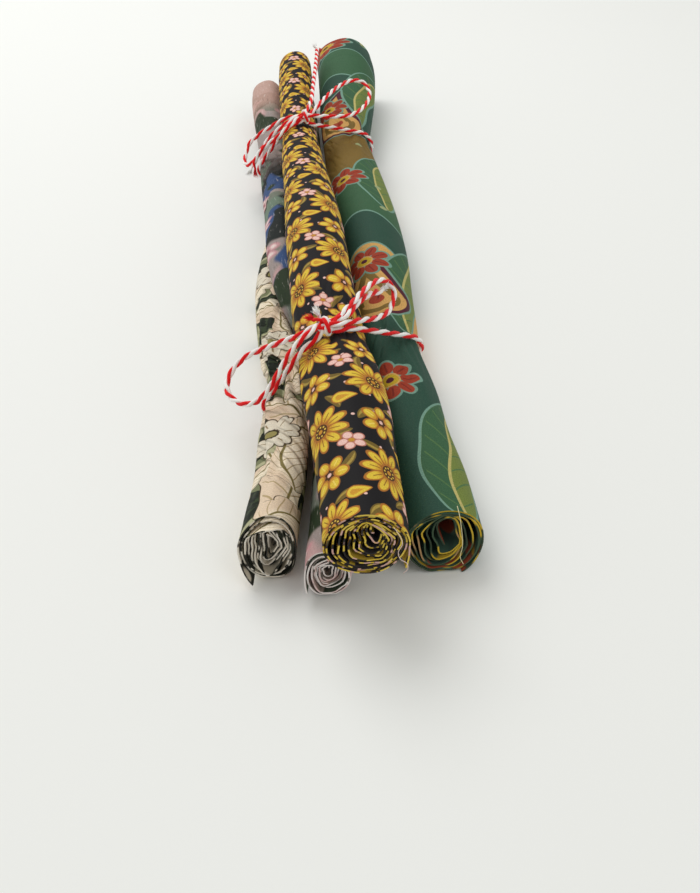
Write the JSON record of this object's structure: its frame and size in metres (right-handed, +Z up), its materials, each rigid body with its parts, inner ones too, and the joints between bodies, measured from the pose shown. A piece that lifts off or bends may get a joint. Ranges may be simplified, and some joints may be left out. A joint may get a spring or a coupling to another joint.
{
  "type": "rolled fat quarter bundle",
  "caption": "Bundle of rolled cotton prints held side by side and on top of each other by red and white twine tied in bows near each end.",
  "frame": {"origin": "on the surface below, under the middle of the four rolls", "axes": "+Z up, +Y along the rolls from the near ends to the far ends, +X to the right of someone looking along +Y"},
  "size_m": [0.1006, 0.491, 0.0526],
  "materials": {
    "cloth_yellow": "plain-woven cotton printed with yellow blossoms on charcoal",
    "cloth_green": "plain-woven cotton printed with large curved shapes on teal green",
    "cloth_cream": "plain-woven cotton printed with cream scrolling leaves on dark green",
    "cloth_painterly": "plain-woven cotton printed with soft pink, grey, green and blue brush marks",
    "twine": "soft two-ply cotton twine, one ply red and one white"
  },
  "bodies": {
    "root": {"roll_yellow": "cloth_yellow", "roll_green": "cloth_green", "roll_cream": "cloth_cream", "roll_painterly": "cloth_painterly", "tie_front": "twine", "tie_far": "twine"}
  },
  "joints": []
}
